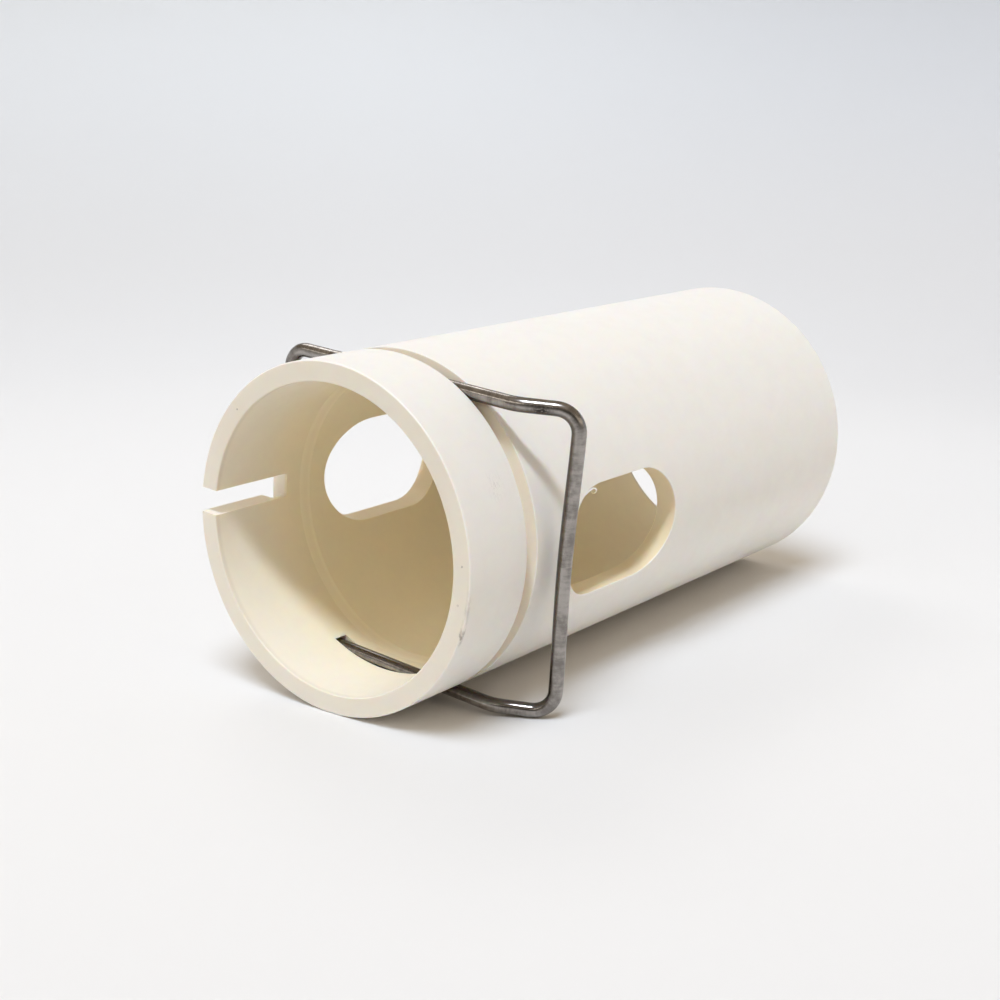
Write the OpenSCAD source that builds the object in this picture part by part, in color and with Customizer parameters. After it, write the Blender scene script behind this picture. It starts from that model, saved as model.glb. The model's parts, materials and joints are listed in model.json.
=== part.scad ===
// Clip-on air-aspirating tube for a fire hose nozzle: one turned plastic tube
// with two air windows, and one bent spring wire clip that sits in its groove.
// The origin is the centre of the socket's mouth, +Y runs back along the tube,
// +Z is up, and the part lies on the tube's underside and the clip's lower corner.

/* [Tube] */
// Outer diameter of the tube
tube_d = 90; // [88:0.5:92]
// Length of the tube
tube_len = 187.5; // [150:0.5:220]
// Diameter of the socket that takes the nozzle head
socket_d = 79.5; // [79:0.1:80]
// Depth of the socket, from the front rim to the start of its shoulder
socket_depth = 31; // [29:0.5:34]
// Diameter of the plain bore behind the shoulder
bore_d = 77.6; // [76:0.1:78.6]
// Length of the taper that makes the shoulder
shoulder_len = 3; // [1:0.5:5]
// Width of the broken edges on both rims and beside the groove
edge_break = 0.4; // [0.2:0.1:0.6]

/* [Clip groove] */
// Distance from the front rim to the groove
groove_start = 21.9; // [20:0.1:23]
// Width of the groove
groove_w = 4.1; // [4:0.1:4.4]
// Radius of the groove's round floor
groove_floor_r = 41.4; // [40.6:0.1:41.8]
// Distance from the axis to the flats that let the clip's legs into the bore
leg_flat = 36.6; // [36.2:0.1:37]

/* [Windows and rim slot] */
// Length of each air window, along the tube
window_len = 50; // [40:0.5:56]
// Height of each air window
window_h = 30; // [24:0.5:32]
// Distance from the front rim to the middle of the windows
window_mid = 65; // [62:0.5:72]
// Width of the slot sawn into the rim
slot_w = 6.6; // [5:0.1:8]
// Length of the rim slot
slot_len = 26; // [24:0.1:27]
// Radius of the rim slot's inner corners
slot_corner_r = 1; // [0.5:0.1:2]

/* [Wire clip] */
// Diameter of the wire
wire_d = 3.75; // [3.5:0.05:3.8]
// Height of each leg's centre line above or below the tube's axis
leg_z = 39.05; // [38.9:0.05:39.4]
// Distance from the tube's axis to the grip's centre line
grip_x = 50.2; // [49.5:0.1:53]
// How far behind the groove the grip stands
grip_back = 7.55; // [5:0.05:9]
// Where the legs bend back towards the grip, from the tube's axis
leg_bend_x = 36.5; // [35:0.5:38]
// Where the hooked ends stand, on the far side of the axis
hook_x = 37.4; // [37.2:0.1:38.5]
// How far each hook's end stays above or below the axis
hook_end_z = 23; // [22.8:0.1:26]
// Bend radius at the corners of the grip, on the centre line
corner_r = 5.85; // [5:0.05:6.5]
// Bend radius where the legs bend back, on the centre line
leg_bend_r = 9; // [6:0.5:10]
// Bend radius of the hooked ends, on the centre line
hook_r = 5.4; // [4.5:0.1:6]

/* [Hidden] */
$fn = 96;               // facets round the windows, the hooks and the legs
tube_facets = 180;      // facets round the turned tube
section_facets = 48;    // facets round the wire's section in its bends

tube_r = tube_d / 2;
socket_r = socket_d / 2;
bore_r = bore_d / 2;
wire_r = wire_d / 2;
groove_end = groove_start + groove_w;
groove_mid = groove_start + groove_w / 2;
grip_y = groove_mid + grip_back;
through = tube_d + 2;   // long enough to cut right through the tube
past = 1;               // how far a cutting shape runs past a face

// The grip and the legs are one wire. It is parted here by a thin gap just before
// each corner, at the hinge points that stand for the wire's flex.
flex_gap = 0.3;
corner_lead = 1.5;      // straight wire between each gap's middle and its corner
wire_end_break = 0.5;   // width of the broken edge on each cut end
run_overlap = 0.1;      // how far a straight stretch runs into its bends
run_step = 0.02;        // how much thinner a straight stretch is than its bends

// Each leg leaves its corner at this angle and then bends parallel to the cross-section
leg_slope = atan2(grip_back, grip_x - leg_bend_x);
slope_len = norm([grip_back, grip_x - leg_bend_x]);
bend_tangent = leg_bend_r * tan(leg_slope / 2);
slope_run = slope_len - corner_r - bend_tangent;
leg_run = leg_bend_x - bend_tangent + hook_x - hook_r;
hook_run = leg_z - hook_r - hook_end_z - wire_end_break;
corner_z = leg_z - corner_r;
hinge_z = corner_z - corner_lead;

// The part rolls about the tube's axis until the clip's lower corner meets the floor
corner_x = grip_x - corner_r * cos(leg_slope);
floor_reach = tube_r - wire_r - corner_r;
rest_roll = atan2(corner_x, corner_z) - acos(floor_reach / norm([corner_x, corner_z]));

// Puts a shape drawn with its windows level into the pose in which the part lies
module as_it_lies() {
    rotate([0, rest_roll, 0]) children();
}

// Turns a shape drawn along +Z so that it runs back along +Y
module along_tube() {
    rotate([-90, 0, 0]) children();
}

// Outline of the turned tube, as [radius, distance from the front rim]
tube_outline = [
    [socket_r + edge_break, 0],
    [tube_r - edge_break, 0],
    [tube_r, edge_break],
    [tube_r, groove_start - edge_break / 2],
    [tube_r - edge_break / 2, groove_start],
    [groove_floor_r, groove_start],
    [groove_floor_r, groove_end],
    [tube_r - edge_break / 2, groove_end],
    [tube_r, groove_end + edge_break / 2],
    [tube_r, tube_len - edge_break],
    [tube_r - edge_break, tube_len],
    [bore_r + edge_break, tube_len],
    [bore_r, tube_len - edge_break],
    [bore_r, socket_depth + shoulder_len],
    [socket_r, socket_depth],
    [socket_r, edge_break]
];

// Flat on one side of the groove that lets a leg of the clip reach into the bore
module leg_cut() {
    translate([-through / 2, groove_start, leg_flat]) cube([through, groove_w, tube_r]);
}

// Outline of an air window: straight sides and round ends
module window_outline() {
    straight = window_len - window_h;
    square([window_h, straight], center = true);
    for (end = [-1, 1])
        translate([0, end * straight / 2]) circle(d = window_h);
}

// Both air windows in one straight cut across the tube
module window_cut() {
    translate([0, window_mid, 0])
        rotate([0, 90, 0])
            linear_extrude(through, center = true) window_outline();
}

// Slot sawn through one wall from the front rim, with small round inner corners
module slot_cut() {
    translate([-through / 2, -past, -slot_w / 2])
        cube([through / 2, slot_len - slot_corner_r + past, slot_w]);
    translate([-through / 2, 0, -slot_w / 2 + slot_corner_r])
        cube([through / 2, slot_len, slot_w - 2 * slot_corner_r]);
    for (side = [-1, 1])
        translate([-through / 2, slot_len - slot_corner_r, side * (slot_w / 2 - slot_corner_r)])
            rotate([0, 90, 0]) cylinder(h = through / 2, r = slot_corner_r);
}

module tube() {
    color("ivory")
        as_it_lies()
            difference() {
                along_tube() rotate_extrude($fn = tube_facets) polygon(tube_outline);
                leg_cut();
                mirror([0, 0, 1]) leg_cut();
                window_cut();
                slot_cut();
            }
}

// A straight stretch of wire along +Z, with what follows it as its children.
// It runs a hair into the bends at its ends, and is a hair thinner than they are,
// so that the wire is one solid with no two surfaces lying in each other.
module wire_run(len) {
    translate([0, 0, -run_overlap])
        cylinder(h = len + 2 * run_overlap, r = wire_r - run_step);
    translate([0, 0, len]) children();
}

// A bend in the wire from +Z towards +X, with what follows it as its children
module wire_bend(radius, angle) {
    translate([radius, 0, 0]) {
        rotate([90, 0, 180])
            rotate_extrude(angle = angle)
                translate([radius, 0]) circle(r = wire_r, $fn = section_facets);
        rotate([0, angle, 0]) translate([-radius, 0, 0]) children();
    }
}

// The cut end of the wire, with its edge broken
module wire_end() {
    cylinder(h = wire_end_break, r1 = wire_r - run_step, r2 = wire_r - wire_end_break);
}

// The upper leg, drawn as a chain: corner, slope, bend, long run and hooked end
module clip_leg() {
    translate([grip_x, grip_y, hinge_z + flex_gap / 2 + run_overlap])
        rotate([0, 0, 180 + leg_slope])
            wire_run(corner_lead - flex_gap / 2 - run_overlap)
                wire_bend(corner_r, 90)
                    wire_run(slope_run)
                        rotate([0, 0, -90]) wire_bend(leg_bend_r, leg_slope)
                            rotate([0, 0, 90]) wire_run(leg_run)
                                wire_bend(hook_r, 90)
                                    wire_run(hook_run) wire_end();
}

module clip_grip() {
    half = hinge_z - flex_gap / 2;
    color("dimgray")
        as_it_lies()
            translate([grip_x, grip_y, -half]) cylinder(h = 2 * half, r = wire_r);
}

module clip_upper_leg() {
    color("gray") as_it_lies() clip_leg();
}

module clip_lower_leg() {
    color("gray") as_it_lies() mirror([0, 0, 1]) clip_leg();
}

tube();
clip_grip();
clip_upper_leg();
clip_lower_leg();
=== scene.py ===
"""Looks of the clip-on foam tube: an ivory turned plastic tube and its bent steel wire clip.

Both are drawn in the tube's level frame, in which the windows face along X and the clip's legs
are level, and are then rolled about the tube's axis into the pose in which the part lies.
"""

import json
import math

import bmesh
import bpy
from mathutils import Matrix, Vector


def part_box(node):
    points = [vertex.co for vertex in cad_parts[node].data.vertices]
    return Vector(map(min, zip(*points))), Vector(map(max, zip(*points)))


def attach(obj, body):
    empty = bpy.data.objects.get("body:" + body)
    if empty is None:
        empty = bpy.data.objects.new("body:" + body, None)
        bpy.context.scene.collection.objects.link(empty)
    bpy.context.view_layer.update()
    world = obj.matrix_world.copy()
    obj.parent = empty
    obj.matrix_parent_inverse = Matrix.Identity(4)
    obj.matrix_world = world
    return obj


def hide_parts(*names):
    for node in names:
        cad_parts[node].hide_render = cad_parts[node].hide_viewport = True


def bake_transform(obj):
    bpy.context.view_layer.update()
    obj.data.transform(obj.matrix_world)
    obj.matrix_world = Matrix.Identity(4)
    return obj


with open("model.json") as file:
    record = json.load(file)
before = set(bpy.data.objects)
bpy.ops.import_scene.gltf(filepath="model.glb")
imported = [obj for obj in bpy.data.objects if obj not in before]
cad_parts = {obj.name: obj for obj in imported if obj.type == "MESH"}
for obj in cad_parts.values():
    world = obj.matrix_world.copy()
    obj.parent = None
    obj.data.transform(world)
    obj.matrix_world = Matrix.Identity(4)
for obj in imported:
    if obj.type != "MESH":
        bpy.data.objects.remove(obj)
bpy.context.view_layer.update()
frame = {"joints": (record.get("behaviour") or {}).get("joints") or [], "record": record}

MM = 0.001

# --- Dimensions that the frame gives ---------------------------------------------------------
joints = {joint["name"]: joint for joint in frame["joints"]}
mounts = {mount["name"]: mount for mount in frame["record"]["mounts"]}
tube_low, tube_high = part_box("tube")
grip_low, grip_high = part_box("clip_grip")

TUBE_RADIUS = (tube_high.z - tube_low.z) / 2
TUBE_LENGTH = tube_high.y - tube_low.y
FLOOR_Z = tube_low.z
SOCKET_RADIUS = mounts["socket"]["dims"]["r_mm"] * MM
BORE_RADIUS = mounts["outlet_bore"]["dims"]["r_mm"] * MM
WIRE_RADIUS = (grip_high.y - grip_low.y) / 2

pull = Vector(joints["clip_pull"]["axis"])
ROLL = math.atan2(-pull.z, pull.x)
level_to_row = Matrix.Rotation(ROLL, 4, "Y")
row_to_level = level_to_row.inverted()
hinge = row_to_level @ Vector(joints["upper_leg_spread"]["pos_m"])
GRIP_X, GRIP_Y = hinge.x, hinge.y

# --- Dimensions of the tube's features -------------------------------------------------------
RIM_ROUND = 0.4 * MM
GROOVE_ROUND = 0.2 * MM
WINDOW_ROUND = 0.25 * MM
GROOVE_START = 21.9 * MM
GROOVE_WIDTH = 4.1 * MM
GROOVE_END = GROOVE_START + GROOVE_WIDTH
GROOVE_FLOOR = 41.4 * MM
LEG_FLAT = 36.6 * MM
SOCKET_DEPTH = 31 * MM
SHOULDER_LENGTH = 3 * MM
WINDOW_LENGTH = 50 * MM
WINDOW_HEIGHT = 30 * MM
WINDOW_MID = 65 * MM
WINDOW_MARGIN = 3.5 * MM
SLOT_HALF = 3.3 * MM
SLOT_CORNER = 1 * MM

# --- Dimensions of the wire clip -------------------------------------------------------------
LEG_Z = 39.05 * MM
LEG_Y = GROOVE_START + GROOVE_WIDTH / 2
LEG_BEND_X = 36.5 * MM
HOOK_X = 37.4 * MM
HOOK_END_Z = 23 * MM
CORNER_RADIUS = 5.85 * MM
LEG_BEND_RADIUS = 9 * MM
HOOK_RADIUS = 5.4 * MM
WIRE_END_BREAK = 0.5 * MM
WIRE_END_CLEAR = 1.2 * WIRE_END_BREAK
GRIP_STRAIGHT = LEG_Z - CORNER_RADIUS
GRIP_BOW = 0.75 * MM

# --- How finely the meshes are drawn ---------------------------------------------------------
COLUMN_STEP = math.radians(1.5)
SLOT_FADE = math.radians(10)
ROW_STEP = 6 * MM
REAR_ROW_STEP = 12 * MM
RIM_STEP = 2 * MM
WALL_STEP = 10 * MM
SLOT_CORNER_STEPS = 4
WINDOW_SPAN = math.radians(28)
WINDOW_ROWS = 16
PATCH_SHARES = (0.3, 0.6, 0.85)
WALL_SHARES = (0.25, 0.5, 0.75)
ROUND_STEPS = 7
SHARP_TURN = math.radians(15)
WELD = 1e-7
TINY = 1e-9
WIRE_SIDES = 28
WIRE_STEP = 0.8 * MM
STRAIGHT = "straight_wire"


# --- Mesh helpers ----------------------------------------------------------------------------
class Skin:
    """Collects faces, and shares the points that lie in one place."""

    def __init__(self):
        self.points = []
        self.faces = []
        self.index = {}
        self.straight = {}

    def point(self, place):
        key = tuple(round(value / WELD) for value in place)
        if key not in self.index:
            self.index[key] = len(self.points)
            self.points.append(tuple(place))
        return self.index[key]

    def face(self, corners):
        found = []
        for corner in corners:
            number = self.point(corner)
            if number not in found:
                found.append(number)
        if len(found) > 2:
            self.faces.append(found)

    def strip(self, line_a, line_b, closed=False):
        """Quads between two lines of points with the same count."""
        count = len(line_a)
        for i in range(count if closed else count - 1):
            k = (i + 1) % count
            self.face([line_a[i], line_a[k], line_b[k], line_b[i]])

    def to_object(self, name, place=level_to_row):
        """An object of these faces, moved into the row frame, smooth but for its sharp edges."""
        mesh = bpy.data.meshes.new(name)
        mesh.from_pydata(self.points, [], self.faces)
        work = bmesh.new()
        work.from_mesh(mesh)
        bmesh.ops.recalc_face_normals(work, faces=work.faces)
        for edge in work.edges:
            turn = edge.calc_face_angle(0) if len(edge.link_faces) == 2 else math.pi
            edge.smooth = turn < SHARP_TURN
        for face in work.faces:
            face.smooth = True
        work.to_mesh(mesh)
        work.free()
        mesh.transform(place)
        if self.straight:
            layer = mesh.attributes.new(STRAIGHT, "FLOAT_VECTOR", "POINT")
            for number, straight_place in self.straight.items():
                layer.data[number].vector = straight_place
        piece = bpy.data.objects.new(name, mesh)
        bpy.context.scene.collection.objects.link(piece)
        return piece


def even_steps(start, end, step):
    """Values from start to end, both included, no further apart than step."""
    count = max(1, math.ceil(abs(end - start) / step - TINY))
    return [start + (end - start) * i / count for i in range(count + 1)]


def quarter_round(corner, start, end):
    """Points of a round edge at a corner of the outline. start and end are the
    offsets from the corner to the round's two ends, each along one of the faces."""
    points = []
    for i in range(ROUND_STEPS + 1):
        turn = math.pi / 2 * i / ROUND_STEPS
        a, b = 1 - math.sin(turn), 1 - math.cos(turn)
        points.append((corner[0] + a * start[0] + b * end[0], corner[1] + a * start[1] + b * end[1]))
    return points


# --- The tube --------------------------------------------------------------------------------
def column_angles():
    """Angles of the mesh's lines along the tube, from one edge of the rim slot right round to it."""
    slot = math.asin(SLOT_HALF / TUBE_RADIUS)
    flat_start = math.asin(LEG_FLAT / GROOVE_FLOOR)
    leg_opening = math.asin(LEG_FLAT / SOCKET_RADIUS)
    quarter = [0, WINDOW_SPAN, flat_start, leg_opening, math.pi / 2]
    half = quarter + [math.pi - a for a in (leg_opening, flat_start, WINDOW_SPAN, slot)]
    marks = sorted({round(side * a, 12) for a in half for side in (-1, 1)})
    in_corner = []
    for i in range(1, SLOT_CORNER_STEPS + 1):
        turn = math.pi / 2 * i / SLOT_CORNER_STEPS
        in_corner.append(math.asin((SLOT_HALF - SLOT_CORNER * (1 - math.cos(turn))) / TUBE_RADIUS))
    marks += [math.pi - a for a in in_corner] + [math.pi]
    marks += [math.pi + a for a in reversed(in_corner)] + [math.pi + slot]
    angles = []
    for start, end in zip(marks, marks[1:]):
        angles += even_steps(start, end, COLUMN_STEP)[:-1]
    return angles, math.pi - slot


ANGLES, SLOT_EDGE = column_angles()
LAND = [i for i, angle in enumerate(ANGLES) if angle <= SLOT_EDGE + TINY]


def column_angle(angle, radius):
    """A column's angle at a radius. The columns beside the slot run parallel to its walls."""
    beside = math.remainder(angle - math.pi, 2 * math.pi)
    edge = math.asin(SLOT_HALF / TUBE_RADIUS)
    shift = math.asin(SLOT_HALF / radius) - edge
    share = abs(beside) / edge if abs(beside) < edge else max(0, 1 - (abs(beside) - edge) / SLOT_FADE)
    return angle + math.copysign(shift * share, beside)


def on_tube(column, radius, y):
    angle = column_angle(ANGLES[column % len(ANGLES)], radius)
    return (radius * math.cos(angle), y, radius * math.sin(angle))


def in_leg_opening(angle):
    return abs(math.sin(angle)) * SOCKET_RADIUS > LEG_FLAT + TINY


def slot_end(angle):
    """How far along the tube the rim slot reaches in a column, with its rounded corners."""
    across = TUBE_RADIUS * abs(math.sin(angle))
    into_corner = min(SLOT_CORNER, max(0, across - (SLOT_HALF - SLOT_CORNER)))
    return GROOVE_END - (SLOT_CORNER - math.sqrt(SLOT_CORNER**2 - into_corner**2))


def groove_bottom(angle):
    """Radius of the groove's bottom: its round floor, or the flat that a leg runs along."""
    flat = LEG_FLAT / max(abs(math.sin(angle)), TINY)
    return max(min(GROOVE_FLOOR, flat), SOCKET_RADIUS)


def collar_outline(bottom):
    """Outline of the collar in front of the groove, as (radius, y), from the bore round to the groove."""
    bore = [(SOCKET_RADIUS, y) for y in even_steps(GROOVE_START, RIM_ROUND, ROW_STEP)]
    mouth = quarter_round((SOCKET_RADIUS, 0), (0, RIM_ROUND), (RIM_ROUND, 0))
    edge = quarter_round((TUBE_RADIUS, 0), (-RIM_ROUND, 0), (0, RIM_ROUND))
    face = [(r, 0) for r in even_steps(mouth[-1][0], edge[0][0], RIM_STEP)]
    lip = quarter_round((TUBE_RADIUS, GROOVE_START), (0, -GROOVE_ROUND), (-GROOVE_ROUND, 0))
    outside = [(TUBE_RADIUS, y) for y in even_steps(RIM_ROUND, lip[0][1], ROW_STEP)]
    wall = [(r, GROOVE_START) for r in even_steps(lip[-1][0], bottom, WALL_STEP)]
    return bore[:-1] + mouth + face[1:-1] + edge + outside[1:-1] + lip + wall[1:]


def body_rows():
    """The y of each row of points along the body: up to the windows, beside them, and behind them."""
    front = WINDOW_MID - WINDOW_LENGTH / 2 - WINDOW_MARGIN
    back = WINDOW_MID + WINDOW_LENGTH / 2 + WINDOW_MARGIN
    window = [front + (back - front) * i / WINDOW_ROWS for i in range(WINDOW_ROWS + 1)]
    lead = even_steps(GROOVE_END + GROOVE_ROUND, front, ROW_STEP)
    rest = even_steps(back, TUBE_LENGTH - RIM_ROUND, REAR_ROW_STEP)
    return lead[:-1], window, rest[1:]


def body_outline(angle, in_slot):
    """Outline of the body behind the groove, as (radius, y), from the groove round to the bore."""
    lead, window, rest = body_rows()
    lip = quarter_round((TUBE_RADIUS, GROOVE_END), (-GROOVE_ROUND, 0), (0, GROOVE_ROUND))
    edge = quarter_round((TUBE_RADIUS, TUBE_LENGTH), (0, -RIM_ROUND), (-RIM_ROUND, 0))
    mouth = quarter_round((BORE_RADIUS, TUBE_LENGTH), (RIM_ROUND, 0), (0, -RIM_ROUND))
    outside = [(TUBE_RADIUS, y) for y in lead[1:] + window + rest[:-1]]
    face = [(r, TUBE_LENGTH) for r in even_steps(edge[-1][0], mouth[0][0], RIM_STEP)]
    inside = [(BORE_RADIUS, y) for y in reversed(window + rest[:-1])]
    inside += [(BORE_RADIUS, SOCKET_DEPTH + SHOULDER_LENGTH), (SOCKET_RADIUS, SOCKET_DEPTH)]
    outline = lip + outside + edge + face[1:-1] + mouth + inside + [(SOCKET_RADIUS, GROOVE_END)]
    if not in_slot:
        return [(groove_bottom(angle), GROOVE_END)] + outline
    end = slot_end(angle)
    slot_wall = [(SOCKET_RADIUS, end), (GROOVE_FLOOR, end), (GROOVE_FLOOR, GROOVE_END)]
    return slot_wall + outline + [(SOCKET_RADIUS, end)]


def window_columns():
    """First and last column of the patch round each window, with the side that it is on."""
    for side, centre in ((1, 0), (-1, math.pi)):
        span = [centre - WINDOW_SPAN, centre + WINDOW_SPAN]
        picked = []
        for i in range(len(ANGLES) * 2):
            angle = ANGLES[i % len(ANGLES)] + (2 * math.pi if i >= len(ANGLES) else 0)
            if span[0] - TINY <= angle <= span[1] + TINY:
                picked.append(i)
        yield side, picked[0], picked[-1]


def window_outline(point, offset):
    """The nearest point of a window's outline, offset outwards, to (z, y)."""
    half_straight = (WINDOW_LENGTH - WINDOW_HEIGHT) / 2
    centre_y = min(max(point[1], WINDOW_MID - half_straight), WINDOW_MID + half_straight)
    away = Vector((point[0], point[1] - centre_y)).normalized()
    reach = WINDOW_HEIGHT / 2 + offset
    return away.x * reach, centre_y + away.y * reach


def window_edge(guides, side, radius, offset, depth):
    """A ring at a window's edge: offset from its outline, and depth off the surface at radius."""
    ring = []
    for guide in guides:
        z, y = window_outline(guide, offset)
        ring.append((side * (math.sqrt(radius**2 - z**2) + depth), y, z))
    return ring


def surface_rings(border, guides, side, radius):
    """Rings over the tube's round surface, from the border to the window's round edge."""
    edge = window_edge(guides, side, radius, WINDOW_ROUND, 0)
    rings = [border]
    for share in PATCH_SHARES:
        ring = []
        for start, end in zip(border, edge):
            turn_a, turn_b = math.asin(start[2] / radius), math.asin(end[2] / radius)
            turn = turn_a + (turn_b - turn_a) * share
            y = start[1] + (end[1] - start[1]) * share
            ring.append((side * radius * math.cos(turn), y, radius * math.sin(turn)))
        rings.append(ring)
    return rings + [edge]


def round_rings(guides, side, radius, inwards):
    """Rings over a window's round edge. inwards is -1 from the outside and 1 from the bore."""
    rings = []
    for i in range(1, ROUND_STEPS + 1):
        turn = math.pi / 2 * i / ROUND_STEPS
        offset = WINDOW_ROUND * (1 - math.sin(turn))
        depth = inwards * WINDOW_ROUND * (1 - math.cos(turn))
        rings.append(window_edge(guides, side, radius, offset, depth))
    return rings


def window_patch(skin, side, first, last):
    """The skin between a window and the grid round it, outside and inside, and the window's walls."""
    _, rows, _ = body_rows()
    border = [(column, rows[0]) for column in range(first, last)]
    border += [(last, y) for y in rows[:-1]]
    border += [(column, rows[-1]) for column in range(last, first, -1)]
    border += [(first, y) for y in reversed(rows[1:])]
    outer = [on_tube(column, TUBE_RADIUS, y) for column, y in border]
    inner = [on_tube(column, BORE_RADIUS, y) for column, y in border]
    guides = [(place[2], place[1]) for place in outer]
    outside = surface_rings(outer, guides, side, TUBE_RADIUS) + round_rings(guides, side, TUBE_RADIUS, -1)
    inside = surface_rings(inner, guides, side, BORE_RADIUS) + round_rings(guides, side, BORE_RADIUS, 1)
    wall = []
    for share in WALL_SHARES:
        wall.append([tuple(Vector(a).lerp(Vector(b), share)) for a, b in zip(outside[-1], inside[-1])])
    rings = outside + wall + inside[::-1]
    for ring_a, ring_b in zip(rings, rings[1:]):
        skin.strip(ring_a, ring_b, closed=True)


def add_collar(skin):
    """The ring in front of the groove, open at the rim slot, with the slot's walls in it."""
    lines = []
    for column in LAND:
        outline = collar_outline(groove_bottom(ANGLES[column]))
        lines.append([on_tube(column, r, y) for r, y in outline])
    for line_a, line_b in zip(lines, lines[1:]):
        skin.strip(line_a, line_b)
    skin.face(lines[0])
    skin.face(lines[-1])


def add_body(skin):
    """The tube behind the groove, with its two windows."""
    count = len(ANGLES)
    windows = list(window_columns())
    _, rows, _ = body_rows()

    def is_window(column, start, end):
        (r_a, y_a), (r_b, y_b) = start, end
        beside = any(first <= c < last for _, first, last in windows for c in (column, column + count))
        along = r_a == r_b and r_a in (TUBE_RADIUS, BORE_RADIUS)
        return beside and along and rows[0] <= min(y_a, y_b) and max(y_a, y_b) <= rows[-1]

    for column in range(count):
        in_slot = column not in LAND or column + 1 not in LAND
        outline = body_outline(ANGLES[column], in_slot)
        following = body_outline(ANGLES[(column + 1) % count], in_slot)
        line_a = [on_tube(column, r, y) for r, y in outline]
        line_b = [on_tube(column + 1, r, y) for r, y in following]
        for i in range(len(outline) - 1):
            if not is_window(column, outline[i], outline[i + 1]):
                skin.face([line_a[i], line_a[i + 1], line_b[i + 1], line_b[i]])
    for side, first, last in windows:
        window_patch(skin, side, first, last)


def add_groove_web(skin):
    """The groove's floor and the bore under it, apart from where the legs pass through into the
    socket, and the rim slot's walls between the two."""
    rows = [GROOVE_START, LEG_Y, GROOVE_END - SLOT_CORNER, GROOVE_END]
    for column, following in zip(LAND, LAND[1:]):
        if in_leg_opening((ANGLES[column] + ANGLES[following]) / 2):
            continue
        for bottom_of in (groove_bottom, lambda angle: SOCKET_RADIUS):
            lines = [[on_tube(c, bottom_of(ANGLES[c]), y) for y in rows] for c in (column, following)]
            skin.strip(*lines)
    for column in (LAND[0], LAND[-1]):
        floor = [on_tube(column, GROOVE_FLOOR, y) for y in rows[:-1]]
        bore = [on_tube(column, SOCKET_RADIUS, y) for y in rows[:-1]]
        skin.strip(floor, bore)


def make_tube():
    skin = Skin()
    add_collar(skin)
    add_body(skin)
    add_groove_web(skin)
    shell = skin.to_object("tube_shell")
    shell.modifiers.new("even_shading", "WEIGHTED_NORMAL").keep_sharp = True
    return shell


# --- The wire clip ---------------------------------------------------------------------------
def rounded_path(corners, radii, step):
    """Points along straight runs whose inner corners are arcs of the given radii."""
    points = [corners[0]]
    for i, radius in enumerate(radii, start=1):
        before, corner, after = corners[i - 1], corners[i], corners[i + 1]
        back, on = (before - corner).normalized(), (after - corner).normalized()
        half = back.angle(on) / 2
        start = corner + back * (radius / math.tan(half))
        centre = corner + (back + on).normalized() * (radius / math.sin(half))
        sweep = math.pi - 2 * half
        for share in even_steps(0, 1, step / (radius * sweep)):
            spoke = start - centre
            axis = back.cross(on)
            points.append(centre + Matrix.Rotation(-sweep * share, 3, axis) @ spoke)
    points.append(corners[-1])
    dense = [points[0]]
    for start, end in zip(points, points[1:]):
        dense += [start.lerp(end, share) for share in even_steps(0, 1, step / (end - start).length)[1:]]
    return dense


def sweep(skin, path, radius_at, sides, straight_side=0):
    """A round rod along a path, closed at both ends. radius_at gives the radius from the distance
    travelled and the distance left. With straight_side, each point also keeps its place in the rod
    as it was before bending, for the material."""
    across = Vector((0, 1, 0))
    travelled, left = 0, sum((b - a).length for a, b in zip(path, path[1:]))
    rings = []
    for i, place in enumerate(path):
        ahead = (path[min(i + 1, len(path) - 1)] - path[max(i - 1, 0)]).normalized()
        across = (across - ahead * across.dot(ahead)).normalized()
        up = ahead.cross(across)
        moved = (place - path[max(i - 1, 0)]).length
        travelled, left = travelled + moved, left - moved
        radius = radius_at(travelled, left)
        ring = []
        for k in range(sides):
            turn = 2 * math.pi * k / sides
            a, b = radius * math.cos(turn), radius * math.sin(turn)
            ring.append(tuple(place + across * a + up * b))
            if straight_side:
                skin.straight[skin.point(ring[-1])] = (a, b, straight_side * travelled)
        rings.append(ring)
    for ring_a, ring_b in zip(rings, rings[1:]):
        skin.strip(ring_a, ring_b, closed=True)
    skin.face(rings[0])
    skin.face(rings[-1])


def make_clip_half(name, side):
    """From the middle of the grip round to one hooked end. side is 1 above the axis, -1 below."""
    corners = [
        Vector((GRIP_X, GRIP_Y, 0)),
        Vector((GRIP_X, GRIP_Y, LEG_Z)),
        Vector((LEG_BEND_X, LEG_Y, LEG_Z)),
        Vector((-HOOK_X, LEG_Y, LEG_Z)),
        Vector((-HOOK_X, LEG_Y, HOOK_END_Z)),
    ]
    path = rounded_path(corners, [CORNER_RADIUS, LEG_BEND_RADIUS, HOOK_RADIUS], WIRE_STEP)
    before_end = path[-1] + Vector((0, 0, WIRE_END_BREAK))
    path = [place for place in path[:-1] if (place - path[-1]).length > WIRE_END_CLEAR]
    path += [before_end, Vector(corners[-1])]
    for place in path:
        if place.x > LEG_BEND_X:
            place.x -= GRIP_BOW * max(0, 1 - (place.z / GRIP_STRAIGHT) ** 2) ** 2
        place.z *= side
    skin = Skin()
    sweep(skin, path, lambda _, left: WIRE_RADIUS - max(0, WIRE_END_BREAK - left), WIRE_SIDES, side)
    return skin.to_object(name)


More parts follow.
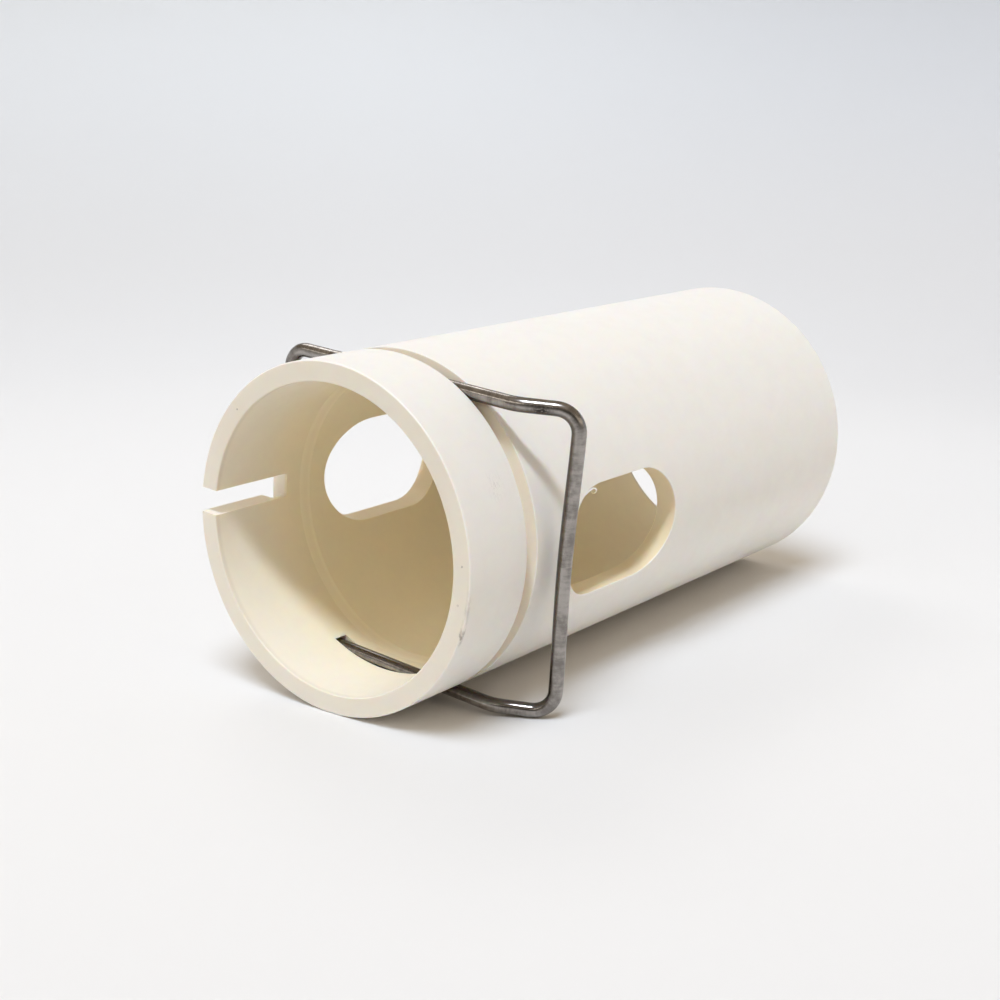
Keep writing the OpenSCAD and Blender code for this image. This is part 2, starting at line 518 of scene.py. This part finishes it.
# --- A curl of swarf left on the right window's edge -------------------------------------------
# Each point is the angle round the window's front end, the distance from that end's middle, and how
# far the point is below the tube's outside.
CURL = [
    (59, 15.15, 0.35),
    (65, 14.95, 0.20),
    (71, 14.80, 0.12),
    (76, 14.65, 0.05),
    (79.5, 14.15, 0.08),
    (80.5, 13.55, 0.20),
    (78, 13.20, 0.40),
    (75, 13.35, 0.60),
    (74.5, 13.80, 0.75),
]
CURL_RADIUS = 0.24 * MM
CURL_TIP = 0.09 * MM
CURL_TAPER = 2.2 * MM
CURL_PIECES = 6
CURL_SIDES = 10


def through(points, pieces):
    """A smooth line through points."""
    line = []
    ends = [points[0]] + points + [points[-1]]
    for before, start, end, after in zip(ends, ends[1:], ends[2:], ends[3:]):
        for share in [i / pieces for i in range(pieces)]:
            bend = (end - before) * share + (2 * before - 5 * start + 4 * end - after) * share**2
            line.append(start + (bend + (3 * start - before - 3 * end + after) * share**3) / 2)
    return line + [points[-1]]


def make_curl():
    points = []
    for angle, reach, depth in CURL:
        turn = math.radians(angle)
        z = reach * MM * math.sin(turn)
        y = WINDOW_MID - (WINDOW_LENGTH - WINDOW_HEIGHT) / 2 - reach * MM * math.cos(turn)
        points.append(Vector((math.sqrt(TUBE_RADIUS**2 - z**2) - depth * MM, y, z)))

    def radius_at(travelled, left):
        return CURL_TIP + (CURL_RADIUS - CURL_TIP) * min(1, travelled / MM, left / CURL_TAPER)

    skin = Skin()
    sweep(skin, through(points, CURL_PIECES), radius_at, CURL_SIDES)
    return skin.to_object("window_swarf")


# --- Materials -------------------------------------------------------------------------------
class Shader:
    """A material's node tree with a few short ways to add to it."""

    def __init__(self, name, attribute=None):
        self.material = bpy.data.materials.new(name)
        self.material.use_nodes = True
        self.nodes = self.material.node_tree.nodes
        self.links = self.material.node_tree.links
        self.nodes.clear()
        self.surface = self.nodes.new("ShaderNodeBsdfPrincipled")
        output = self.nodes.new("ShaderNodeOutputMaterial")
        self.links.new(self.surface.outputs["BSDF"], output.inputs["Surface"])
        self.place = self.nodes.new("ShaderNodeTexCoord").outputs["Object"]
        if attribute:
            reader = self.nodes.new("ShaderNodeAttribute")
            reader.attribute_name = attribute
            self.straight = reader.outputs["Vector"]

    def put(self, socket, value):
        if isinstance(value, bpy.types.NodeSocket):
            self.links.new(value, socket)
        else:
            socket.default_value = value

    def set(self, node, **values):
        for name, value in values.items():
            self.put(node.inputs[name.replace("_", " ")], value)
        return node

    def vector(self, x, y, z):
        node = self.set(self.nodes.new("ShaderNodeCombineXYZ"), X=x, Y=y, Z=z)
        return node.outputs["Vector"]

    def scaled(self, vector, factors):
        node = self.set(self.nodes.new("ShaderNodeMapping"), Vector=vector, Scale=factors)
        return node.outputs["Vector"]

    def noise(self, scale, detail=3, roughness=0.5, vector=None):
        node = self.nodes.new("ShaderNodeTexNoise")
        self.set(node, Vector=vector or self.place, Scale=scale, Detail=detail, Roughness=roughness)
        return node.outputs["Fac"]

    def ramp(self, value, start, end, low=0.0, high=1.0):
        """low up to start, high from end, and smooth between them."""
        node = self.nodes.new("ShaderNodeMapRange")
        node.interpolation_type = "SMOOTHSTEP"
        self.set(node, Value=value, From_Min=start, From_Max=end, To_Min=low, To_Max=high)
        return node.outputs["Result"]

    def math(self, operation, a, b=0.0):
        node = self.nodes.new("ShaderNodeMath")
        node.operation = operation
        self.put(node.inputs[0], a)
        self.put(node.inputs[1], b)
        return node.outputs["Value"]

    def times(self, *values):
        result = values[0]
        for value in values[1:]:
            result = self.math("MULTIPLY", result, value)
        return result

    def most(self, values):
        result = values[0]
        for value in values[1:]:
            result = self.math("MAXIMUM", result, value)
        return result

    def mix(self, factor, a, b):
        node = self.nodes.new("ShaderNodeMix")
        node.data_type = "RGBA"
        for number, value in ((0, factor), (6, a), (7, b)):
            self.put(node.inputs[number], value)
        return node.outputs[2]

    def bump(self, height, distance, normal=None):
        node = self.set(self.nodes.new("ShaderNodeBump"), Height=height, Distance=distance)
        if normal is not None:
            self.links.new(normal, node.inputs["Normal"])
        return node.outputs["Normal"]

    def axes(self, vector):
        node = self.set(self.nodes.new("ShaderNodeSeparateXYZ"), Vector=vector)
        return node.outputs["X"], node.outputs["Y"], node.outputs["Z"]

    def near(self, vector, place, reach, stretch=(1, 1, 1)):
        """1 at a place, falling to 0 at a distance from it, after stretching the distance along each axis."""
        node = self.nodes.new("ShaderNodeVectorMath")
        node.operation = "DISTANCE"
        self.put(node.inputs[0], self.scaled(vector, stretch))
        self.put(node.inputs[1], [p * f for p, f in zip(place, stretch)])
        return self.ramp(node.outputs["Value"], 0.0, reach, 1.0, 0.0)


def collar_place(angle_degrees, y):
    """A point on the collar's outside."""
    angle = math.radians(angle_degrees)
    return (TUBE_RADIUS * math.cos(angle), y, TUBE_RADIUS * math.sin(angle))


RIM_SPECKS = [(42.5 * MM, 0, 1.2 * MM), (41.2 * MM, 0, -8.4 * MM), (-30.1 * MM, 0, 29.6 * MM)]
SPECK_REACHES = [0.5 * MM, 0.45 * MM, 0.45 * MM]
SCUFF_PLACE = collar_place(-21, 0.4 * MM)
STREAK_PLACE = collar_place(-13, 0.3 * MM)
SCRATCH_PLACE = collar_place(23, 14 * MM)
DIRT_COLOUR = (0.17, 0.13, 0.105, 1)
WORN_COLOUR = (0.62, 0.57, 0.50, 1)
# WINDOW_CUT_COLOUR, GROOVE_SHADES and DEEP_SHADES are yellower than the cut plastic at the mouth: partly the
# cut faces' own colour, partly a painted tint of the light bounced about in the window walls, the groove and
# the deep bore.
WINDOW_CUT_COLOUR = (0.86, 0.74, 0.51, 1)
# The two shades between which each part of the plastic is clouded.
OUTER_SHADES = ((0.875, 0.835, 0.765, 1), (0.895, 0.86, 0.80, 1))
FACE_SHADES = ((0.80, 0.735, 0.615, 1), (0.83, 0.77, 0.66, 1))
GROOVE_SHADES = ((0.95, 0.865, 0.73, 1), (0.97, 0.89, 0.775, 1))
MOUTH_SHADES = ((0.90, 0.825, 0.68, 1), (0.92, 0.855, 0.73, 1))
DEEP_SHADES = ((0.918, 0.806, 0.558, 1), (0.937, 0.83, 0.603, 1))
MOUTH_END = 4 * MM
DEEP_START = SOCKET_DEPTH + SHOULDER_LENGTH


def plastic_colour(s, radius, y, cloudy):
    """Whiter outside, yellower where the tube is cut and in the bore, and deeper yellow in the groove, in the
    window walls and further into the bore: there partly the cut plastic's colour and partly a painted tint of
    the light bounced about in these hollows.
    """
    # Deeper yellow further into the bore: partly a painted tint of the light bounced about inside.
    mouth, deep = s.mix(cloudy, *MOUTH_SHADES), s.mix(cloudy, *DEEP_SHADES)
    cut = s.mix(s.ramp(y, MOUTH_END, DEEP_START), mouth, deep)
    in_groove = s.times(
        s.ramp(y, GROOVE_START - 0.3 * MM, GROOVE_START - 0.1 * MM),
        s.ramp(y, GROOVE_END + 0.1 * MM, GROOVE_END + 0.3 * MM, 1.0, 0.0),
        s.ramp(radius, SOCKET_RADIUS + 0.5 * MM, SOCKET_RADIUS + 1 * MM),
    )
    through_wall = s.times(
        s.ramp(y, SOCKET_DEPTH, SOCKET_DEPTH + SHOULDER_LENGTH),
        s.ramp(radius, BORE_RADIUS + 0.1 * MM, BORE_RADIUS + 0.5 * MM),
    )
    # The groove and the window walls are deeper yellow: partly a painted tint of the light bounced about in
    # them.
    cut = s.mix(in_groove, cut, s.mix(cloudy, *GROOVE_SHADES))
    cut = s.mix(s.times(through_wall, 0.8), cut, WINDOW_CUT_COLOUR)
    skin = s.ramp(radius, TUBE_RADIUS - 0.5 * MM, TUBE_RADIUS - 0.1 * MM)
    end_face = s.ramp(s.math("PINGPONG", y, TUBE_LENGTH / 2), 0.5 * MM, 2 * MM, 1.0, 0.0)
    cut = s.mix(end_face, cut, s.mix(cloudy, *FACE_SHADES))
    return s.mix(skin, cut, s.mix(cloudy, *OUTER_SHADES))


def collar_dirt(s, radius, y):
    """How dark the collar's marks are: specks on the rim's face, a scuff and a faint streak on its
    outer edge, and hairline scratches further back."""
    grain = s.ramp(s.noise(1900, 2, 0.6), 0.40, 0.55)
    marks = [s.times(s.near(s.place, place, reach), grain) for place, reach in zip(RIM_SPECKS, SPECK_REACHES)]
    smear = s.noise(900, 3, 0.65, s.scaled(s.place, (1, 1, 0.3)))
    rim_edge = s.times(
        s.ramp(radius, TUBE_RADIUS - 1.1 * MM, TUBE_RADIUS - 0.5 * MM),
        s.ramp(y, 0.7 * MM, 1.5 * MM, 1.0, 0.0),
    )
    near_scuff = s.near(s.place, SCUFF_PLACE, 2.8 * MM, (1, 1, 0.7))
    near_streak = s.near(s.place, STREAK_PLACE, 10 * MM, (1, 8, 0.9))
    marks.append(s.times(near_scuff, s.ramp(smear, 0.43, 0.57), rim_edge))
    marks.append(s.times(near_streak, s.ramp(smear, 0.34, 0.66), rim_edge, 0.4))
    hairlines = s.noise(260, 2, 0.5, s.scaled(s.place, (1, 9, 1)))
    line = s.ramp(s.math("ABSOLUTE", s.math("SUBTRACT", hairlines, 0.5)), 0.006, 0.020, 1.0, 0.0)
    marks.append(s.times(s.near(s.place, SCRATCH_PLACE, 5 * MM), line, 0.5))
    return s.most(marks)


def ivory_plastic():
    """Turned ivory plastic, a little translucent, with cloudy colour, fine turning lines, slight wear, the
    collar's marks, and a painted tint of bounced light in the groove, the window walls and the deep bore."""
    s = Shader("ivory_plastic")
    x, y, z = s.axes(s.place)
    radius = s.math("SQRT", s.math("ADD", s.times(x, x), s.times(z, z)))
    cloudy = s.noise(26, 4, 0.55)
    handled = s.noise(150, 5, 0.68)
    colour = plastic_colour(s, radius, y, cloudy)
    colour = s.mix(s.times(s.ramp(handled, 0.30, 0.72), 0.06), colour, WORN_COLOUR)
    colour = s.mix(s.times(collar_dirt(s, radius, y), 0.7), colour, DIRT_COLOUR)

    s.set(s.surface, Base_Color=colour, Subsurface_Weight=0.5, Subsurface_Scale=1.2 * MM, IOR=1.5)
    s.surface.inputs["Subsurface Radius"].default_value = (1.0, 0.62, 0.30)
    s.set(s.surface, Roughness=s.ramp(handled, 0.3, 0.7, 0.38, 0.52))
    turned = s.noise(2600, 2, 0.6, s.vector(radius, y, s.times(cloudy, 0.00006)))
    normal = s.bump(turned, 0.012 * MM)
    s.set(s.surface, Normal=s.bump(s.noise(420, 3, 0.6), 0.02 * MM, normal))
    return s.material


NICK_PLACE = (-0.97 * WIRE_RADIUS, -0.15 * WIRE_RADIUS, 46 * MM)
STEEL_DARK = (0.20, 0.182, 0.166, 1)
STEEL_BRIGHT = (0.385, 0.36, 0.335, 1)
# Colour of the painted dark reflection on the side that faces forwards and into the U.
STEEL_PAINTED_REFLECTION = (0.09, 0.08, 0.075, 1)
STEEL_NICK = (0.05, 0.044, 0.04, 1)


def drawn_steel():
    """Drawn spring steel: fine lines along it, faint marks across it, soft stains, a painted dark reflection
    on the side that faces forwards and into the U, pits, and the nicks that bending left on the upper leg."""
    s = Shader("drawn_steel", STRAIGHT)
    stain = s.noise(190, 4, 0.6, s.scaled(s.straight, (1.5, 1.5, 1)))
    across = s.noise(1300, 3, 0.55, s.scaled(s.straight, (0.22, 0.22, 1)))
    along = s.noise(2600, 2, 0.5, s.scaled(s.straight, (1, 1, 0.025)))
    nick_grain = s.ramp(s.noise(2300, 2, 0.6, s.straight), 0.40, 0.50)
    nick = s.times(s.near(s.straight, NICK_PLACE, 2 * MM, (1.1, 1.1, 0.55)), nick_grain)
    pits = s.ramp(s.noise(1500, 3, 0.6, s.scaled(s.straight, (0.7, 0.7, 1))), 0.69, 0.75)
    mottle = s.ramp(s.math("ADD", s.times(stain, 0.65), s.times(across, 0.35)), 0.36, 0.64)

    # The side that faces forwards and into the U is darkened, patchy with the stains: a painted dark
    # reflection.
    a, b, along_wire = s.axes(s.straight)
    forwards = s.times(a, -0.6 / WIRE_RADIUS)
    inwards = s.times(b, s.math("SIGN", along_wire), 0.8 / WIRE_RADIUS)
    painted_reflection_side = s.ramp(s.math("ADD", forwards, inwards), 0.35, 0.90)
    painted_dark_reflection = s.times(painted_reflection_side, s.ramp(stain, 0.30, 0.60, 0.6, 0.85))
    dark = s.math("MAXIMUM", s.times(nick, 1.2), s.times(pits, 0.5))

    colour = s.mix(mottle, STEEL_DARK, STEEL_BRIGHT)
    colour = s.mix(painted_dark_reflection, colour, STEEL_PAINTED_REFLECTION)
    colour = s.mix(dark, colour, STEEL_NICK)
    s.set(s.surface, Base_Color=colour, Metallic=1.0)
    s.set(s.surface, Roughness=s.ramp(stain, 0.36, 0.64, 0.24, 0.16))
    normal = s.bump(along, 0.004 * MM, s.bump(across, 0.006 * MM))
    s.set(s.surface, Normal=s.bump(dark, -0.03 * MM, normal))
    return s.material


# --- Stage, light and camera -----------------------------------------------------------------
CAMERA_PLACE = Vector((0.2700, -0.2816, 0.1080))
CAMERA_FACING = Vector((-0.5910, 0.7690, -0.2435))
CAMERA_LENS = 58.9
SENSOR = 36.0
CLIP_START = 0.01

BOWL_MIDDLE_Y = 0.09
BOWL_FLAT = 0.45
BOWL_CURVE = 0.32
BOWL_HEIGHT = 0.42
BOWL_SPOKES = 128
BOWL_FLOOR_SHARES = (0.05, 0.15, 0.3, 0.5, 0.75, 1)
BOWL_CURVE_STEPS = 16

# All the greys below but NEAR_FLOOR are painted shade on the card: less light far off and on the right, and a
# dark room in front, which FRONT_WALL stands in for.
NEAR_FLOOR = (0.793, 0.76, 0.708, 1)
FAR_FLOOR_RIGHT = (0.62, 0.59, 0.551, 1)
FAR_FLOOR_LEFT = (0.675, 0.645, 0.602, 1)
WALL_RIGHT = (0.66, 0.655, 0.645, 1)
WALL_LEFT = (0.82, 0.815, 0.79, 1)
FRONT_FLOOR = (0.515, 0.49, 0.451, 1)
FRONT_WALL = (0.204, 0.20, 0.193, 1)
# Where each of the card's fades starts and ends, in metres.
FAR_FADE = (0.15, 0.62)
RISE_FADE = (FLOOR_Z + 0.03, FLOOR_Z + 0.22)
LEFT_FADE = (0.75, 0.0)
FRONT_FADE = (0.26, 0.48)
FRONT_WALL_FADE = (0.45, 0.65)
FRONT_WALL_SIDES = (0.25, 0.60)
FRONT_WALL_RISE = (FLOOR_Z + 0.01, FLOOR_Z + 0.12)

KEY_TOWARDS = Vector((0.15, -0.33, 0.93))
KEY_ANGLE = math.radians(8)
KEY_STRENGTH = 2.25
FLOOR_KEY_ANGLE = math.radians(28)
KEY_COLOUR = (0.885, 0.99, 1.145)
FLOOR_KEY_COLOUR = (0.845, 0.99, 1.22)
SKY_COLOUR = (1.165, 0.985, 0.775, 1)
SKY_BRIGHT_TOWARDS = Vector((0.0, 0.12, 0.99)).normalized()
SKY_BRIGHT = 0.395
SKY_DARK = 0.20
SKY_FADE = (0.1, 0.8)


def make_camera():
    data = bpy.data.cameras.new("camera")
    data.lens = CAMERA_LENS
    data.sensor_width = SENSOR
    data.clip_start = CLIP_START
    camera = bpy.data.objects.new("camera", data)
    camera.location = CAMERA_PLACE
    camera.rotation_euler = CAMERA_FACING.to_track_quat("-Z", "Y").to_euler()
    bpy.context.scene.collection.objects.link(camera)
    bpy.context.scene.camera = camera


def bowl_profile():
    """Distance out and height of the stage: a flat floor that curves up into a low wall all round."""
    line = [(BOWL_FLAT * share, 0) for share in BOWL_FLOOR_SHARES]
    for i in range(1, BOWL_CURVE_STEPS + 1):
        turn = math.pi / 2 * i / BOWL_CURVE_STEPS
        line.append((BOWL_FLAT + BOWL_CURVE * math.sin(turn), BOWL_CURVE * (1 - math.cos(turn))))
    return line + [(line[-1][0], BOWL_HEIGHT)]


def white_card():
    """White card with painted shade: greyer far off, on the right and towards the front right, and a dark
    patch on the front right wall that stands in for a dark room, for the steel to reflect. Its fades run
    along the floor's two diagonals."""
    s = Shader("white_card")
    x, y, z = s.axes(s.place)
    from_middle = s.math("ADD", s.times(x, x), s.math("POWER", s.math("SUBTRACT", y, BOWL_MIDDLE_Y), 2))
    rightwards, forwards = s.math("ADD", x, y), s.math("SUBTRACT", x, y)
    left = s.ramp(rightwards, *LEFT_FADE)
    far_floor = s.mix(left, FAR_FLOOR_RIGHT, FAR_FLOOR_LEFT)
    floor = s.mix(s.ramp(s.math("SQRT", from_middle), *FAR_FADE), NEAR_FLOOR, far_floor)
    pale = s.mix(s.ramp(z, *RISE_FADE), floor, s.mix(left, WALL_RIGHT, WALL_LEFT))
    pale = s.mix(s.ramp(forwards, *FRONT_FADE), pale, FRONT_FLOOR)
    # A painted dark room on the front right wall, for the steel to reflect.
    painted_shade_patch = s.times(
        s.ramp(forwards, *FRONT_WALL_FADE),
        s.ramp(s.math("ABSOLUTE", rightwards), *FRONT_WALL_SIDES, 1.0, 0.0),
        s.ramp(z, *FRONT_WALL_RISE),
    )
    s.set(s.surface, Base_Color=s.mix(painted_shade_patch, pale, FRONT_WALL), Roughness=0.8)
    s.surface.inputs["Specular IOR Level"].default_value = 0.2
    return s.material


def make_stage():
    skin = Skin()
    turns = [2 * math.pi * k / BOWL_SPOKES for k in range(BOWL_SPOKES)]
    rings = [[(r * math.cos(t), r * math.sin(t), h) for t in turns] for r, h in bowl_profile()]
    skin.face(rings[0])
    for ring_a, ring_b in zip(rings, rings[1:]):
        skin.strip(ring_a, ring_b, closed=True)
    stage = skin.to_object("stage", Matrix.Translation((0, BOWL_MIDDLE_Y, FLOOR_Z)))
    stage.data.materials.append(white_card())
    return stage


def make_sky():
    """A soft dome of light, bright above and dimmer towards the horizon."""
    world = bpy.data.worlds.new("studio")
    world.use_nodes = True
    nodes, links = world.node_tree.nodes, world.node_tree.links
    background = nodes["Background"]
    background.inputs["Color"].default_value = SKY_COLOUR
    facing = nodes.new("ShaderNodeVectorMath")
    facing.operation = "DOT_PRODUCT"
    links.new(nodes.new("ShaderNodeTexCoord").outputs["Generated"], facing.inputs[0])
    facing.inputs[1].default_value = SKY_BRIGHT_TOWARDS
    fade = nodes.new("ShaderNodeMapRange")
    fade.interpolation_type = "SMOOTHSTEP"
    links.new(facing.outputs["Value"], fade.inputs["Value"])
    fade.inputs["From Min"].default_value, fade.inputs["From Max"].default_value = SKY_FADE
    fade.inputs["To Min"].default_value = SKY_DARK
    fade.inputs["To Max"].default_value = SKY_BRIGHT
    links.new(fade.outputs["Result"], background.inputs["Strength"])
    bpy.context.scene.world = world


def make_key(name, angle, colour, stage, state):
    """The key light, for the stage alone (state INCLUDE) or for all but the stage (EXCLUDE). The
    stage's own is broader, so that shadows on the floor fade more softly than those on the tube."""
    data = bpy.data.lights.new(name, "SUN")
    data.angle = angle
    data.energy = KEY_STRENGTH
    data.color = colour
    light = bpy.data.objects.new(name, data)
    light.rotation_euler = KEY_TOWARDS.to_track_quat("Z", "Y").to_euler()
    lit = bpy.data.collections.new(f"{name}_lights")
    lit.objects.link(stage)
    lit.collection_objects[0].light_linking.link_state = state
    light.light_linking.receiver_collection = lit
    bpy.context.scene.collection.objects.link(light)


# Name, place, point that it faces, size, power in watts, and colour.
SOFTBOXES = [
    ("side_window", (-1.03, 0.61, 1.24), (0, 0.05, 0), (0.75, 0.45), 3.3, (0.99, 1.0, 1.03)),
    ("front_fill", (-0.14, -0.70, 0.28), (0, 0, 0), (1.1, 0.4), 4.8, (1.0, 0.95, 0.87)),
    ("right_fill", (0.70, 0.12, 0.20), (0, 0.07, -0.03), (0.7, 0.3), 0.5, (1.0, 0.88, 0.72)),
]


def softbox(name, place, aim, size, power, colour):
    data = bpy.data.lights.new(name, "AREA")
    data.shape = "RECTANGLE"
    data.size, data.size_y = size
    data.energy = power
    data.color = colour
    light = bpy.data.objects.new(name, data)
    light.location = place
    light.visible_camera = False
    light.rotation_euler = (Vector(aim) - Vector(place)).to_track_quat("-Z", "Y").to_euler()
    bpy.context.scene.collection.objects.link(light)


# --- Put it together -------------------------------------------------------------------------
make_camera()
stage = make_stage()
make_sky()
make_key("key", KEY_ANGLE, KEY_COLOUR, stage, "EXCLUDE")
make_key("floor_key", FLOOR_KEY_ANGLE, FLOOR_KEY_COLOUR, stage, "INCLUDE")
for box in SOFTBOXES:
    softbox(*box)
bpy.context.scene.view_settings.view_transform = "Standard"

plastic = ivory_plastic()
steel = drawn_steel()

tube_shell = make_tube()
tube_shell.data.materials.append(plastic)
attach(tube_shell, "tube")
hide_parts("tube")

curl = make_curl()
curl.data.materials.append(plastic)
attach(curl, "tube")

for name, side in (("upper", 1), ("lower", -1)):
    half = make_clip_half(f"wire_{name}_half", side)
    half.data.materials.append(steel)
    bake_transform(half)
    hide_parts(f"clip_{name}_leg", "clip_grip")
